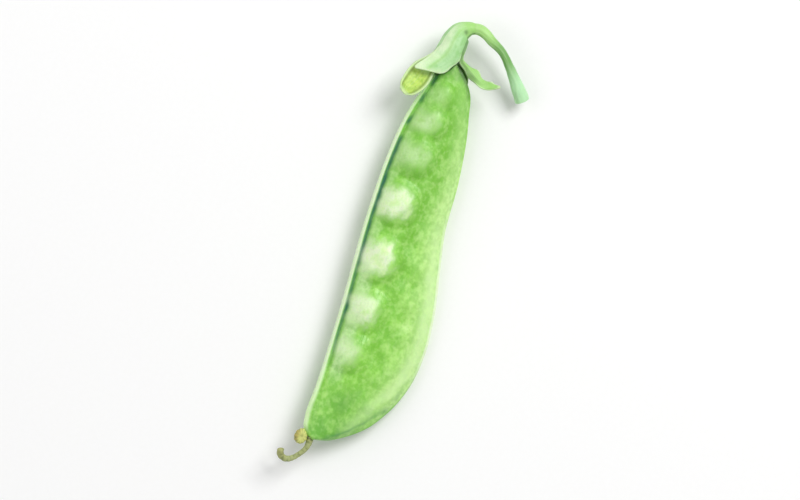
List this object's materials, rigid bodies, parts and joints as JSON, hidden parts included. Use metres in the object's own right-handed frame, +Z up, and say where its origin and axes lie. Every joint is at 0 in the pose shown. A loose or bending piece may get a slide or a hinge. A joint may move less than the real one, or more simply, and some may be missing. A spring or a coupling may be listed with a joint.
{
  "type": "pea pod",
  "caption": "Closed fresh garden pea pod with its calyx, its own stalk and the dried style at its tip, lying on its side.",
  "frame": {"origin": "on the surface that the pod lies on, under the middle of the whole part's bounding box", "axes": "+X along the pod from its tip to its stalk, +Y towards the ventral suture that carries the peas, +Z up from the surface"},
  "size_m": [0.0942, 0.025, 0.0101],
  "materials": {
    "pod_skin": "waxy satin, fresh light green",
    "calyx_green": "soft matt pale green",
    "stalk_green": "soft satin pale green",
    "dried_style": "dry, matt, olive brown"
  },
  "bodies": {
    "root": {"pod": "pod_skin", "calyx": "calyx_green", "stalk": "stalk_green", "style": "dried_style"}
  },
  "joints": []
}
